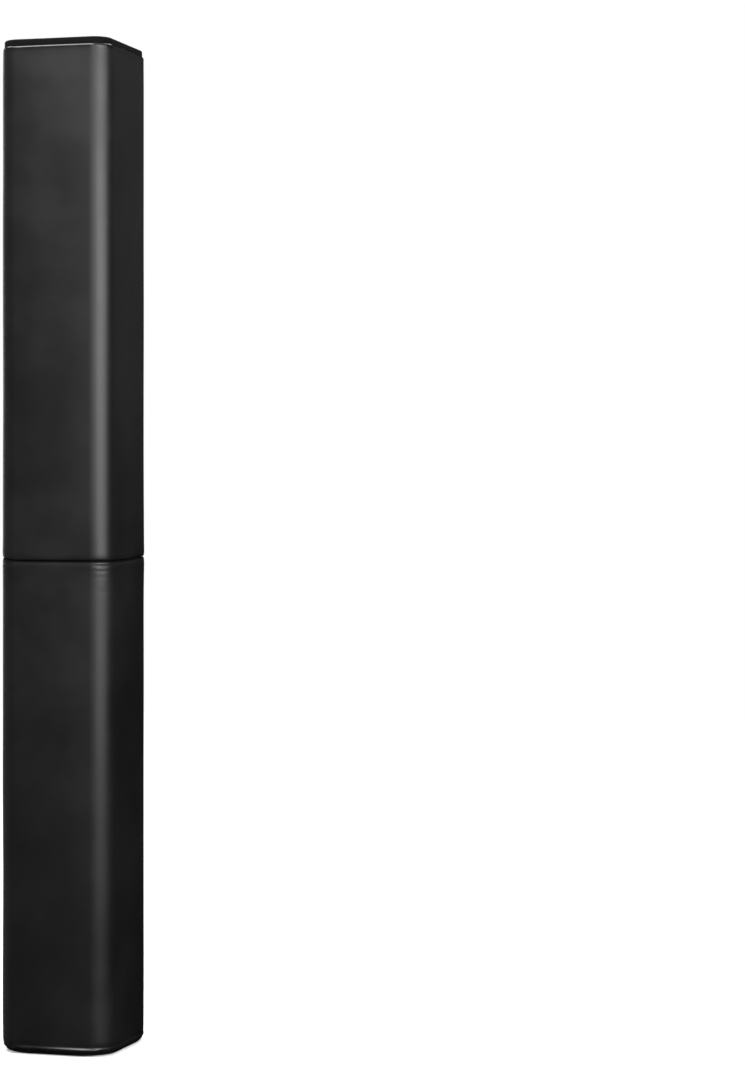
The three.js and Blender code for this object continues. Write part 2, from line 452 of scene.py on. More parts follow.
@dataclass(frozen=True)
class Drape:
    """How vinyl lies on foam: slow waves, gathers at the seams and creases round a corner.

    A wave's pitch is given across the faces and up the pole.
    """

    crown: float = 4.5 * MM
    slow_wave: float = 0.6 * MM
    slow_pitch: Pair = (80 * MM, 200 * MM)
    gather: float = 0.28 * MM
    gather_pitch: Pair = (16 * MM, 60 * MM)
    gather_reach: float = 22 * MM

    def wave(self, spot: Vector, z: float, pitch: Pair) -> float:
        """A smooth wave from -1 to 1 at a place and a height."""
        return noise.noise(Vector((spot.x / pitch[0], spot.y / pitch[0], z / pitch[1])))

    def lift(self, place: Place, row: Row, section: Section) -> float:
        """Gives how far the skin stands out of the plan outline.

        Args:
            place: where on the outline.
            row: at which height.
            section: the section that the skin belongs to.

        Returns:
            The distance along the place's outward direction.
        """
        below_top = section.high_seam - row.z
        above_bottom = row.z - section.low_seam
        seam = math.exp(-min(below_top, above_bottom) / self.gather_reach)
        lift = self.crown * place.crown * row.fade
        lift += self.slow_wave * row.fade * self.wave(place.spot, row.z, self.slow_pitch)
        lift += self.gather * seam * (1 - seam) * self.wave(place.spot, row.z, self.gather_pitch)
        for crease in section.creases:
            across = (below_top - crease.drop) / crease.width
            lift -= crease.depth * place.bend ** 2 * math.exp(-across ** 2)
        return lift - row.inset * place.draw


def lay(
    name: str, columns: Sequence[float], rows: Sequence[float], at: Callable[[int, int], Vector],
    thickness: float, tension: Callable[[int, int], float] | None = None,
) -> Piece:
    """Lays flat stock over a form: the sheet starts as a grid and keeps its cloth coordinates.

    Args:
        name: the piece's name.
        columns: distances along the cloth across the sheet, for its UV map.
        rows: distances along the cloth up the sheet.
        at: gives the place of a column and a row.
        thickness: of the cloth, which grows behind the laid face.
        tension: gives how tight the cloth is at a column and a row, from 0 to 1.

    Returns:
        The piece, smooth and with its thickness applied.
    """
    deselect_all()
    across, up = len(columns) - 1, len(rows) - 1
    bpy.ops.mesh.primitive_grid_add(x_subdivisions=across, y_subdivisions=up, size=2)
    piece = bpy.context.object
    piece.name = piece.data.name = name
    mesh = piece.data
    index = []
    for vertex in mesh.vertices:
        place = (round((vertex.co.x + 1) / 2 * across), round((vertex.co.y + 1) / 2 * up))
        index.append(place)
        vertex.co = at(*place)
    if tension:
        tight = mesh.attributes.new("tension", "FLOAT", "POINT")
        for item, place in zip(tight.data, index):
            item.value = tension(*place)
    cloth = mesh.uv_layers.active
    for loop in mesh.loops:
        column, row = index[loop.vertex_index]
        cloth.data[loop.index].uv = (columns[column], rows[row])
    solid = piece.modifiers.new("thickness", "SOLIDIFY")
    solid.thickness = thickness
    solid.offset = -1
    solid.use_even_offset = True
    apply_modifiers(piece)
    bpy.ops.object.shade_smooth_by_angle(angle=SHEET_ANGLE)
    return piece


def fill(tree: Tree, node: bpy.types.Node, inputs: dict[str | int, object]) -> None:
    """Links or sets a node's inputs.

    Args:
        tree: the node's tree.
        node: which one.
        inputs: a socket to link or a value to keep, for each named input.
    """
    for name, value in inputs.items():
        if isinstance(value, Socket):
            tree.links.new(value, node.inputs[name])
        else:
            node.inputs[name].default_value = value


def add_node(tree: Tree, kind: str, inputs: dict[str | int, object], **settings: object) -> bpy.types.Node:
    """Adds a shader node.

    Args:
        tree: the tree that it joins.
        kind: what follows ShaderNode in its type.
        inputs: a socket to link or a value to keep, for each named input.
        settings: the node's own settings.

    Returns:
        The node.
    """
    node = tree.nodes.new("ShaderNode" + kind)
    for name, value in settings.items():
        setattr(node, name, value)
    fill(tree, node, inputs)
    return node


def maths(tree: Tree, operation: str, *values: object) -> Socket:
    """Adds a math node on numbers or sockets, and gives its result."""
    return add_node(tree, "Math", dict(enumerate(values)), operation=operation).outputs["Value"]


def ranged(tree: Tree, value: Socket, reach: Pair, ends: Pair, kind: str = "SMOOTHSTEP") -> Socket:
    """Maps a value's reach onto two ends.

    Args:
        tree: the tree that the node joins.
        value: what is mapped.
        reach: the two values that reach the ends.
        ends: what they become.
        kind: how it goes between them.

    Returns:
        The mapped value.
    """
    inputs = dict(zip(("Value", "From Min", "From Max", "To Min", "To Max"), (value, *reach, *ends)))
    return add_node(tree, "MapRange", inputs, interpolation_type=kind).outputs["Result"]


@dataclass(frozen=True)
class Finish:
    """One finish: its slot, its two shades, its gloss and its surface pattern.

    pitch, depth and strength are the pattern's. tight_gloss is the roughness that is lost where the
    sheet is drawn tight.
    """

    slot: Look
    shade: Shade
    worn_shade: Shade
    roughness: Pair
    specular: float
    pattern: Pattern
    pitch: float
    depth: float
    strength: float
    sheen: float = 0.0
    tight_gloss: float = 0.0


FINISHES = {
    Look.VINYL: Finish(
        Look.VINYL, (0.0034, 0.0034, 0.0036), (0.0050, 0.0050, 0.0053), (0.42, 0.49), 0.5,
        Pattern.PEBBLE, pitch=1.1 * MM, depth=0.035 * MM, strength=0.35, tight_gloss=0.26),
    Look.END_VINYL: Finish(
        Look.END_VINYL, (0.0022, 0.0022, 0.0023), (0.0036, 0.0036, 0.0038), (0.75, 0.85), 0.08,
        Pattern.PEBBLE, pitch=0.9 * MM, depth=0.06 * MM, strength=0.5),
    Look.LINING: Finish(
        Look.LINING, (0.012, 0.012, 0.013), (0.024, 0.024, 0.026), (0.75, 0.9), 0.2,
        Pattern.WEAVE, pitch=1.6 * MM, depth=0.25 * MM, strength=0.8, sheen=0.1),
    Look.FOAM: Finish(
        Look.FOAM, (0.20, 0.205, 0.21), (0.32, 0.325, 0.33), (0.85, 0.98), 0.15,
        Pattern.CELLS, pitch=1.8 * MM, depth=0.5 * MM, strength=0.9),
    Look.TAPE: Finish(
        Look.TAPE, (0.006, 0.006, 0.0065), (0.018, 0.018, 0.020), (0.8, 0.95), 0.2,
        Pattern.CELLS, pitch=0.8 * MM, depth=0.5 * MM, strength=0.9, sheen=0.2),
    Look.THREAD: Finish(
        Look.TAPE, (0.10, 0.10, 0.103), (0.14, 0.14, 0.144), (0.6, 0.75), 0.3,
        Pattern.WEAVE, pitch=0.6 * MM, depth=0.1 * MM, strength=0.5),
}


class Effects:
    """The shader groups that the finishes share, each built once."""

    pebble_smoothness = 0.6
    fine_detail = 2.0
    fine_share = 0.3
    cell_shares = (1.0, 0.45)
    patch_detail = 4.0
    patch_roughness = 0.6
    patch_span = (0.35, 0.7)

    def __init__(self) -> None:
        """Builds the groups."""
        makers = {
            Pattern.PEBBLE: self.pebble,
            Pattern.WEAVE: self.weave,
            Pattern.CELLS: self.cells,
            Pattern.PATCHES: self.patches,
        }
        self.groups = {pattern: self.group(pattern, make) for pattern, make in makers.items()}

    @staticmethod
    def group(pattern: Pattern, make: Callable[[Tree, Socket, Socket], Socket]) -> Tree:
        """Builds one group.

        Args:
            pattern: which one.
            make: adds its nodes, from coordinates and a scale, and gives its value.

        Returns:
            The group, with its inputs Vector and Pitch and its output Value.
        """
        group = bpy.data.node_groups.new(pattern.value, "ShaderNodeTree")
        for name, way, kind in (("Vector", "INPUT", "Vector"), ("Pitch", "INPUT", "Float"),
                                ("Value", "OUTPUT", "Float")):
            group.interface.new_socket(name=name, in_out=way, socket_type="NodeSocket" + kind)
        come = group.nodes.new("NodeGroupInput").outputs
        go = group.nodes.new("NodeGroupOutput").inputs
        scale = maths(group, "DIVIDE", 1.0, come["Pitch"])
        group.links.new(make(group, come["Vector"], scale), go["Value"])
        return group

    def place(self, tree: Tree, pattern: Pattern, where: Socket, pitch: float) -> Socket:
        """Places a group in a material, on coordinates and at a pitch, and gives its value."""
        inputs = {"Vector": where, "Pitch": pitch}
        return add_node(tree, "Group", inputs, node_tree=self.groups[pattern]).outputs["Value"]

    def pebble(self, group: Tree, where: Socket, scale: Socket) -> Socket:
        """Makes the embossed pebble grain of vinyl.

        Args:
            group: the tree that the nodes join.
            where: its coordinates.
            scale: pebbles to a metre.

        Returns:
            The grain's height.
        """
        inputs = {"Vector": where, "Scale": scale, "Smoothness": self.pebble_smoothness}
        cell = add_node(group, "TexVoronoi", inputs, feature="SMOOTH_F1").outputs["Distance"]
        inputs = {"Vector": where, "Scale": scale, "Detail": self.fine_detail}
        fine = add_node(group, "TexNoise", inputs).outputs["Fac"]
        return maths(group, "MULTIPLY_ADD", fine, self.fine_share, maths(group, "SUBTRACT", 1.0, cell))

    def weave(self, group: Tree, where: Socket, scale: Socket) -> Socket:
        """Makes a plain weave, over and under, along the cloth's own coordinates.

        Args:
            group: the tree that the nodes join.
            where: its coordinates.
            scale: threads to a metre.

        Returns:
            The weave's height.
        """
        parts = add_node(group, "SeparateXYZ", {"Vector": where}).outputs
        turn = maths(group, "MULTIPLY", scale, math.pi)
        across = maths(group, "MULTIPLY", parts["X"], turn)
        up = maths(group, "MULTIPLY", parts["Y"], turn)
        warp = maths(group, "ABSOLUTE", maths(group, "SINE", across))
        weft = maths(group, "ABSOLUTE", maths(group, "SINE", up))
        over = maths(group, "MULTIPLY", maths(group, "COSINE", across), maths(group, "COSINE", up))
        lean = maths(group, "MULTIPLY_ADD", maths(group, "SIGN", over), 0.5, 0.5)
        first = maths(group, "MULTIPLY", warp, lean)
        second = maths(group, "MULTIPLY", weft, maths(group, "SUBTRACT", 1.0, lean))
        return maths(group, "ADD", first, second)

    def cells(self, group: Tree, where: Socket, scale: Socket) -> Socket:
        """Makes open cells, as in cut foam or the pile of a loop tape.

        Args:
            group: the tree that the nodes join.
            where: its coordinates.
            scale: cells to a metre.

        Returns:
            The height of their walls.
        """
        walls = []
        for share in self.cell_shares:
            inputs = {"Vector": where, "Scale": maths(group, "MULTIPLY", scale, share)}
            cell = add_node(group, "TexVoronoi", inputs, feature="DISTANCE_TO_EDGE")
            walls.append(cell.outputs["Distance"])
        return maths(group, "SUBTRACT", 1.0, maths(group, "ADD", *walls))

    def patches(self, group: Tree, where: Socket, scale: Socket) -> Socket:
        """Makes soft patches of handling and dust.

        Args:
            group: the tree that the nodes join.
            where: its coordinates.
            scale: patches to a metre.

        Returns:
            Their mask.
        """
        inputs = {"Vector": where, "Scale": scale}
        inputs |= {"Detail": self.patch_detail, "Roughness": self.patch_roughness}
        cloud = add_node(group, "TexNoise", inputs).outputs["Fac"]
        return ranged(group, cloud, self.patch_span, (0.0, 1.0))


@dataclass(frozen=True)
class Settling:
    """How the filled sections settle on the floor and on each other, as a move of every point.

    The foot swells at the floor, most on one side of each panel, and its corners draw in and up. The
    joint between the sections flares and sinks, and rises round the left corner and towards the back.
    """

    half_side: float
    channel_half: float
    joint: float
    corner_start: float = 0.45
    foot_reach: float = 28 * MM
    foot_pull: float = 9 * MM
    rear_pull_share: float = 0.3
    foot_lift: float = 1.6 * MM
    swell: float = 4.0 * MM
    swell_top: float = 17.5 * MM
    swell_full: float = 12 * MM
    least_swell: float = 0.6
    outline_swell_loss: float = 0.95
    corner_swell_loss: float = 0.5
    left_swell_loss: float = 0.8
    left_start: float = 0.55
    swell_turn: float = math.radians(28)
    joint_reach: float = 70 * MM
    flare: float = 1.3 * MM
    flare_reach: float = 45 * MM
    tilt: float = 5 * MM
    sink: float = 1 * MM
    left_rise: Pair = (66 * MM, 40 * MM)
    right_rise: Pair = (71 * MM, 170 * MM)

    def corner(self, x: float, y: float) -> float:
        """How near a place is to a corner of the pad: 0 along a flat and 1 on the diagonal."""
        nearness = min(abs(x), abs(y)) / max(abs(x), abs(y))
        return smooth((nearness - self.corner_start) / (1 - self.corner_start))

    def outer_share(self, x: float, y: float) -> float:
        """How near a place is to the outside: 0 at the pole and 1 at the outline."""
        reach = max(abs(x), abs(y)) - self.channel_half
        return min(max(reach / (self.half_side - self.channel_half), 0.0), 1.0)

    def rise(self, x: float, y: float) -> float:
        """Gives how much of the joint's tilt a place has.

        Args:
            x: to the right.
            y: towards the back.

        Returns:
            A share from 0 to 1.
        """
        left = smooth((-x - self.left_rise[0]) / self.left_rise[1])
        right = smooth((y + self.right_rise[0]) / self.right_rise[1])
        return 1 - (1 - left) * (1 - right)

    def swelling(self, x: float, y: float, z: float) -> float:
        """Gives how far the foot swells at a place of the outline.

        Args:
            x: to the right.
            y: towards the back.
            z: over the floor.

        Returns:
            The swell, once round each panel and least at the left.
        """
        turn = math.atan2(x, -y) - self.swell_turn
        share = self.least_swell + (1 - self.least_swell) * math.cos(2 * turn) ** 2
        swollen = smooth((self.swell_top - z) / (self.swell_top - self.swell_full))
        loss = self.outline_swell_loss if x * y > 0 else self.corner_swell_loss
        left = smooth((-x / self.half_side - self.left_start) / (1 - self.left_start))
        return (self.swell * share * (1 - loss * self.corner(x, y)) * swollen
                * (1 - self.left_swell_loss * left))

    def moved(self, spot: Vector) -> Vector:
        """Settles a point.

        Args:
            spot: where it was.

        Returns:
            Its settled place.
        """
        x, y, z = spot
        outer = self.outer_share(x, y)
        drawn = self.corner(x, y) * outer * max(1 - z / self.foot_reach, 0.0) ** 2
        drawn *= 1.0 if y < 0 else self.rear_pull_share
        from_joint = abs(z - self.joint)
        out = self.flare * math.exp(-from_joint / self.flare_reach) + self.swelling(x, y, z)
        scale = 1 + outer * out / self.half_side
        pull = self.foot_pull * drawn * ROOT_HALF
        tilt = (self.tilt * self.rise(x, y) - self.sink) * math.exp(-from_joint / self.joint_reach)
        return Vector((x * scale - math.copysign(pull, x), y * scale - math.copysign(pull, y),
                       z + self.foot_lift * drawn + tilt))


class Dresser:
    """Settles pieces, and dresses them in materials made from the finishes."""

    patch_size = 140 * MM

    def __init__(self, effects: Effects, settling: Settling) -> None:
        """Makes every finish's material.

        Args:
            effects: the shader groups that the finishes share.
            settling: moves every point of a piece.
        """
        self.effects = effects
        self.settling = settling
        self.materials = {look: self.material(look, finish) for look, finish in FINISHES.items()}

    def material(self, look: Look, finish: Finish) -> bpy.types.Material:
        """Makes the material of one finish.

        Args:
            look: which finish.
            finish: its shades, gloss and pattern.

        Returns:
            The material, with its pattern on object or cloth coordinates.
        """
        material = bpy.data.materials.new(look.value.replace("_", " ") + " finish")
        material.use_nodes = True
        tree = material.node_tree
        where = add_node(tree, "TexCoord", {}).outputs
        cloth = finish.pattern is Pattern.WEAVE
        patches = self.effects.place(tree, Pattern.PATCHES, where["Object"], self.patch_size)
        height = self.effects.place(tree, finish.pattern, where["UV" if cloth else "Object"], finish.pitch)
        shades = {"Factor": patches, "A": (*finish.shade, 1.0), "B": (*finish.worn_shade, 1.0)}
        shade = add_node(tree, "Mix", shades, data_type="RGBA").outputs["Result"]
        rough = ranged(tree, patches, (0.0, 1.0), finish.roughness, "LINEAR")
        if finish.tight_gloss:
            tight = add_node(tree, "Attribute", {}, attribute_name="tension").outputs["Fac"]
            rough = maths(tree, "SUBTRACT", rough, maths(tree, "MULTIPLY", tight, finish.tight_gloss))
        relief = {"Strength": finish.strength, "Distance": finish.depth, "Height": height}
        fill(tree, tree.nodes["Principled BSDF"], {
            "Base Color": shade,
            "Roughness": rough,
            "Normal": add_node(tree, "Bump", relief).outputs["Normal"],
            "Specular IOR Level": finish.specular,
            "Sheen Weight": finish.sheen,
        })
        return material

    def dress(self, piece: Piece, look: Look) -> None:
        """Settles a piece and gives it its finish.

        Args:
            piece: which one.
            look: its finish.
        """
        for vertex in piece.data.vertices:
            vertex.co = self.settling.moved(vertex.co)
        piece.data.materials.clear()
        piece.data.materials.append(self.materials[look])


@dataclass
class Part:
    """A sub-assembly of one section, with the outline, the section and the dresser that it uses."""

    plan: WrapPlan
    section: Section
    dresser: Dresser

    def named(self, *words: str) -> str:
        """The name of one of the section's nodes, bodies or pieces."""
        return "_".join((self.section.name, *words))

    def finish_sheet(
        self, piece: Piece, look: Look, nodes: Sequence[str], flat: Pair, rests_on: Sequence[str],
        body: str = "", held: str = "stretched",
    ) -> Piece:
        """Dresses a sheet, hides the nodes that it stands for, and hangs it on its body if one is given.

        Args:
            piece: the sheet.
            look: its finish.
            nodes: that it replaces.
            flat: its size before it was laid; not used.
            rests_on: what is under it; not used.
            body: that it rides on; with none given, it is not hung.
            held: stretched or laid; not used.

        Returns:
            The sheet.
        """
        self.dresser.dress(piece, look)
        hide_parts(*nodes)
        if body:
            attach(piece, body)
        return piece


@dataclass(frozen=True)
class SkinCut:
    """One vinyl skin of a section: the panels that it covers and the two bodies that it joins."""

    name: str
    path: Callable[[WrapPlan], list[Place]]
    covers: tuple[Panel, ...]
    joins: tuple[Panel, Panel]
    corner: tuple[int, int]


SKIN_CUTS = (
    SkinCut("front_and_right_skin",
            lambda plan: (plan.flat(Panel.FRONT) + plan.corner(Panel.FRONT)[1:]
                          + plan.flat(Panel.RIGHT_SIDE)[1:]),
            (Panel.FRONT, Panel.RIGHT_SIDE), (Panel.FRONT, Panel.RIGHT_SIDE), (1, -1)),
    SkinCut("left_skin",
            lambda plan: plan.flat(Panel.LEFT_SIDE) + plan.corner(Panel.LEFT_SIDE)[1:],
            (Panel.LEFT_SIDE,), (Panel.LEFT_SIDE, Panel.FRONT), (-1, -1)),
    SkinCut("right_rear_skin",
            lambda plan: plan.corner(Panel.RIGHT_SIDE) + plan.rear_half(Panel.RIGHT_REAR)[1:],
            (Panel.RIGHT_REAR,), (Panel.RIGHT_SIDE, Panel.RIGHT_REAR), (1, 1)),
    SkinCut("left_rear_skin",
            lambda plan: plan.rear_half(Panel.LEFT_REAR) + plan.corner(Panel.LEFT_REAR)[1:],
            (Panel.LEFT_REAR,), (Panel.LEFT_REAR, Panel.LEFT_SIDE), (-1, 1)),
)


@dataclass
class Skins(Part):
    """The four vinyl skins of a section, each crossing one fold."""

    drape: Drape = Drape()
    thickness: float = 1 * MM
    bend_reach: float = 10 * MM

    def build(self) -> list[Piece]:
        """Makes and dresses the skins."""
        return [self.skin(cut) for cut in SKIN_CUTS]

    def skin(self, cut: SkinCut) -> Piece:
        """Makes one skin.

        Args:
            cut: which one.

        Returns:
            The skin.
        """
        places, rows = cut.path(self.plan), self.section.rows()
        along = lengths([place.spot for place in places])
        up = lengths([Vector((row.inset, row.z)) for row in rows])
        ends = ((self.section.bottom, up), (self.section.top, [up[-1] - reach for reach in up]))

        def at(column: int, row: int) -> Vector:
            """Gives the place of a column and a row.

            Args:
                column: counted across the sheet.
                row: counted up the sheet.

            Returns:
                The place.
            """
            place = places[column]
            spot = place.spot + place.out * self.drape.lift(place, rows[row], self.section)
            return Vector((*spot, rows[row].z))

        def tension(column: int, row: int) -> float:
            """How tight the skin is at a row."""
            return max(form.tension * math.exp(-((reach[row] / form.tight_reach) ** 2))
                       for form, reach in ends)

        piece = lay(self.named(cut.name), along, up, at, self.thickness, tension)
        nodes = [self.named(panel.label, "cover") for panel in cut.covers]
        foams = [self.named(panel.label, "foam") for panel in cut.covers]
        self.finish_sheet(piece, Look.VINYL, nodes, (along[-1], up[-1]), foams)
        self.bend(piece, cut)
        return piece

    def bend(self, piece: Piece, cut: SkinCut) -> None:
        """Bakes a skin's transform into its mesh; the corner and the two bodies that meet there are looked up
        but not used.

        Args:
            piece: the skin.
            cut: which one it is.
        """
        across, ahead = cut.corner
        bodies = [self.named(panel.label) for panel in cut.joins]
        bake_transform(piece)


@dataclass
class EndPanels(Part):
    """The arched vinyl panels over one end of a section, one for each padded panel."""

    end: End
    thickness: float = 1 * MM
    seat: float = 0.3 * MM
    skirt: float = 0.7 * MM
    rows: int = 26
    pucker_pitch: float = 13 * MM

    def __post_init__(self) -> None:
        """Works out the seam, the rise of the arch and how deep under the face it starts and ends."""
        section, top = self.section, self.end is End.TOP
        self.form = section.top if top else section.bottom
        self.seam = section.high_seam if top else section.low_seam
        self.rise = section.high_end - self.seam if top else self.seam - section.low_end
        self.first_depth = self.form.seam_inset + self.seat
        self.last_depth = self.plan.wall - self.plan.nose_draw * self.form.seam_inset - self.seat
        self.edge = self.plan.rear_gap / 2 + self.first_depth

    def build(self) -> list[Piece]:
        """Makes, dresses and mounts the panels."""
        return [self.panel(panel) for panel in Panel]

    def row_places(self, panel: Panel, depth: float) -> list[Vector]:
        """Lays out a row of plan points, from the panel's left end to its right.

        Args:
            panel: which panel.
            depth: under the plane of the face.

        Returns:
            Points in the front panel's frame, evenly numbered at every depth.
        """
        half, gap = self.plan.half_side, self.plan.mitre_gap * ROOT_HALF

        def corner(side: int, radius: float) -> list[Vector]:
            """Lays out a corner's points, from its mitre to the flat.

            Args:
                side: 1 at the right end of the panel, and -1 at the left.
                radius: of the corner.

            Returns:
                The points.
            """
            bow = max(radius - depth, self.plan.least_radius)
            centre = half - depth - bow
            points = []
            for share in shares(radius * QUARTER / 2, self.plan.corner_step):
                angle = QUARTER / 2 * (1 - share)
                x = min(centre + bow * math.sin(angle), half - depth - gap)
                points.append(Vector((side * x, -centre - bow * math.cos(angle))))
            return points

        left_radius, right_radius = self.plan.radii(panel)
        left, right = corner(-1, left_radius), corner(1, right_radius)
        if panel is Panel.RIGHT_REAR:
            return left + self.to_nose(panel, left[-1], depth)
        if panel is Panel.LEFT_REAR:
            return (right + self.to_nose(panel, right[-1], depth))[::-1]
        steps = shares(2 * half - left_radius - right_radius, self.plan.spacing)[1:-1]
        return left + [left[-1].lerp(right[-1], share) for share in steps] + right[::-1]

    def to_nose(self, panel: Panel, start: Vector, depth: float) -> list[Vector]:
        """Lays out the rest of a rear half's row, up to its rounded closing edge.

        Args:
            panel: which rear half.
            start: the end of its corner.
            depth: of the row.

        Returns:
            The points after the start, closest at the closing edge.
        """
        first, last = depth - self.first_depth, self.last_depth - depth
        reach = 0.0
        for radius, under in ((self.plan.nose_inner_radius, last), (self.plan.nose_outer_radius, first)):
            if under < radius:
                reach = radius - math.sqrt(max(radius ** 2 - (radius - under) ** 2, 0.0))
        end = Vector((panel.nose_side * (self.edge + reach), start.y))
        steps = shares(self.plan.half_side, self.plan.spacing)[1:]
        return [start.lerp(end, math.sin(QUARTER * share)) for share in steps]

    def height(self, panel: Panel, spot: Vector, depth: float) -> float:
        """Gives the height of the arch over the seam, as a share of its rise.

        Args:
            panel: which panel.
            spot: the place in the front panel's frame.
            depth: of the place under the face.

        Returns:
            The share, from 0 at the edges to about 1 along the middle.
        """
        reach = min(depth - self.first_depth, self.last_depth - depth)
        if panel.nose_side:
            reach = min(reach, self.nose_reach(abs(spot.x), depth))
        share = min(max(2 * reach / (self.last_depth - self.first_depth), 0.0), 1.0)
        return (1 - (1 - share) ** self.form.fullness) ** (1 / self.form.fullness)

    def nose_reach(self, x: float, depth: float) -> float:
        """Gives how far a place is from the rounded closing edge.

        Args:
            x: how far it is from the middle of the back.
            depth: under the face.

        Returns:
            The distance, round the edge's two corners too.
        """
        for radius, under in ((self.plan.nose_outer_radius, depth - self.first_depth),
                              (self.plan.nose_inner_radius, self.last_depth - depth)):
            if under < radius and x < self.edge + radius:
                return radius - math.hypot(self.edge + radius - x, radius - under)
        return x - self.edge

    def panel(self, panel: Panel) -> Piece:
        """Makes one end panel.

        Args:
            panel: which padded panel it closes.

        Returns:
            The end panel, riding on its padded panel's body.
        """
        start, end = self.first_depth, self.last_depth
        turns = [math.pi * row / self.rows for row in range(self.rows + 1)]
        depths = [start] + [start + (end - start) * (1 - math.cos(turn)) / 2 for turn in turns] + [end]
        depths = depths[::self.end.way]
        grid = [self.row_places(panel, depth) for depth in depths]

        def at(column: int, row: int) -> Vector:
            """Gives the place of a column and a row, of which the first and the last are the skirt.

            Args:
                column: counted across the panel.
                row: counted over the arch.

            Returns:
                The place.
            """
            spot, depth = grid[row][column], depths[row]
            world = panel.home(*spot)
            lift = -self.skirt
            if 0 < row < len(depths) - 1:
                share = (depth - start) / (end - start)
                wave = noise.noise(Vector((*world, 0)) / self.pucker_pitch)
                pucker = self.form.pucker * 4 * share * (1 - share) * (1 + wave) / 2
                lift = self.rise * self.height(panel, spot, depth) * (1 - pucker)
            return Vector((*world, self.seam + self.end.way * lift))

        across = lengths(grid[len(grid) // 2])
        over = lengths([at(len(across) // 2, row) for row in range(len(depths))])
        name = self.named(panel.label, self.end.label, "end")
        piece = lay(name + "_panel", across, over, at, self.thickness)
        return self.finish_sheet(piece, Look.END_VINYL, [name], (across[-1], over[-1]),
                                 [self.named(panel.label, "foam")], self.named(panel.label))


@dataclass
class FoamCores(Part):
    """The five cut foam cores of a section: wedges of one rounded block, arched at both ends."""

    cover: float = 1.7 * MM
    lining: float = 1.3 * MM
    clearance: float = 1.4 * MM
    end_draw: float = 1.0 * MM
    nose_reach: float = 30 * MM
    bevel_segments: int = 5
    slice_pitch: float = 40 * MM
    side_pitch: float = 16 * MM
    roll_slices: tuple[float, ...] = (0.1, 0.35, 0.65, 1.0)
    foot_slices: tuple[float, ...] = (12 * MM, 14 * MM, 16 * MM, 18 * MM, 20 * MM, 26 * MM, 32 * MM)
    arch_slices: int = 12
    near: float = 0.1 * MM
    smooth_angle: float = math.radians(30)

    def __post_init__(self) -> None:
        """Works out a core's face and its side against the pole, and keeps the forms of the ends."""
        self.half = self.plan.half_side - self.cover
        self.inner = self.plan.channel_half + self.lining
        self.ends = [EndPanels(self.plan, self.section, self.dresser, end) for end in End]

    def build(self) -> list[Piece]:
        """Cuts, dresses and mounts the cores."""
        return [self.core(panel) for panel in Panel]

    def bevel(self, piece: Piece, wanted: Callable[[Vector], bool], radius: float) -> None:
        """Rounds upright edges in edit mode.

        Args:
            piece: the core.
            wanted: tells whether an edge at a place is rounded.
            radius: of the rounding.
        """
        bpy.ops.mesh.select_mode(type="EDGE")
        bpy.ops.mesh.select_all(action="DESELECT")
        mesh = bmesh.from_edit_mesh(piece.data)
        for edge in mesh.edges:
            a, b = [vertex.co for vertex in edge.verts]
            edge.select_set((a - b).xy.length < self.near and wanted(a))
        mesh.select_flush_mode()
        bmesh.update_edit_mesh(piece.data)
        bpy.ops.mesh.bevel(offset=radius, segments=self.bevel_segments, affect="EDGES")

    def bisect(self, spot: Sequence[float], across: Sequence[float], cut: bool = False) -> None:
        """Scores a core along a plane, or cuts off and closes what lies past it.

        Args:
            spot: a place on the plane.
            across: its direction.
            cut: whether it cuts.
        """
        bpy.ops.mesh.select_all(action="SELECT")
        bpy.ops.mesh.bisect(plane_co=spot, plane_no=across, use_fill=cut, clear_outer=cut)

    def core(self, panel: Panel) -> Piece:
        """Cuts one core out of a rounded block, in the front panel's place, and turns it home.

        Args:
            panel: which core.

        Returns:
            The core, riding on its panel's body.
        """
        low, high = self.section.low_seam, self.section.high_seam
        deselect_all()
        bpy.ops.mesh.primitive_cube_add(size=2, location=(0, 0, (low + high) / 2),
                                        scale=(self.half, self.half, (high - low) / 2))
        piece = bpy.context.object
        piece.name = piece.data.name = self.named(panel.label, "foam_core")
        bpy.ops.object.transform_apply(location=True, rotation=True, scale=True)
        bpy.ops.object.mode_set(mode="EDIT")
        for side, radius in zip((-1, 1), self.plan.radii(panel)):
            self.bevel(piece, lambda spot, side=side: spot.x * side > 0 and spot.y < 0, radius - self.cover)
        self.bisect((0, -self.inner, 0), (0, 1, 0), cut=True)
        for side in (1, -1):
            self.bisect((0, -self.plan.mitre_gap * ROOT_HALF, 0), (side, 1, 0), cut=True)
        if panel.nose_side:
            self.round_nose(piece, panel)
        self.score(low, high)
        bpy.ops.mesh.select_all(action="SELECT")
        bpy.ops.mesh.normals_make_consistent(inside=False)
        bpy.ops.object.mode_set(mode="OBJECT")
        for vertex in piece.data.vertices:
            shaped = self.shaped(vertex.co, panel)
            vertex.co = Vector((*panel.home(*shaped.xy), shaped.z))
        bpy.ops.object.shade_smooth_by_angle(angle=self.smooth_angle)
        self.dresser.dress(piece, Look.FOAM)
        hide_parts(self.named(panel.label, "foam"))
        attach(piece, self.named(panel.label))
        return piece

    def score(self, low: float, high: float) -> None:
        """Scores a core level at its rolls and up its length, and along its arched ends.

        Args:
            low: the height of the lower seam.
            high: the height of the upper seam.
        """
        heights = [low + self.section.bottom.roll_height * share for share in self.roll_slices]
        heights += [high - self.section.top.roll_height * share for share in self.roll_slices]
        heights += [low + (high - low) * share for share in shares(high - low, self.slice_pitch)[1:-1]]
        if low < self.foot_slices[0]:
            heights += self.foot_slices
        for z in heights:
            self.bisect((0, 0, z), (0, 0, 1))
        for share in shares(2 * self.half, self.side_pitch)[1:-1]:
            self.bisect((self.half * (2 * share - 1), 0, 0), (1, 0, 0))
        for step in range(1, self.arch_slices):
            share = (1 - math.cos(math.pi * step / self.arch_slices)) / 2
            self.bisect((0, -self.inner - (self.half - self.inner) * share, 0), (0, 1, 0))

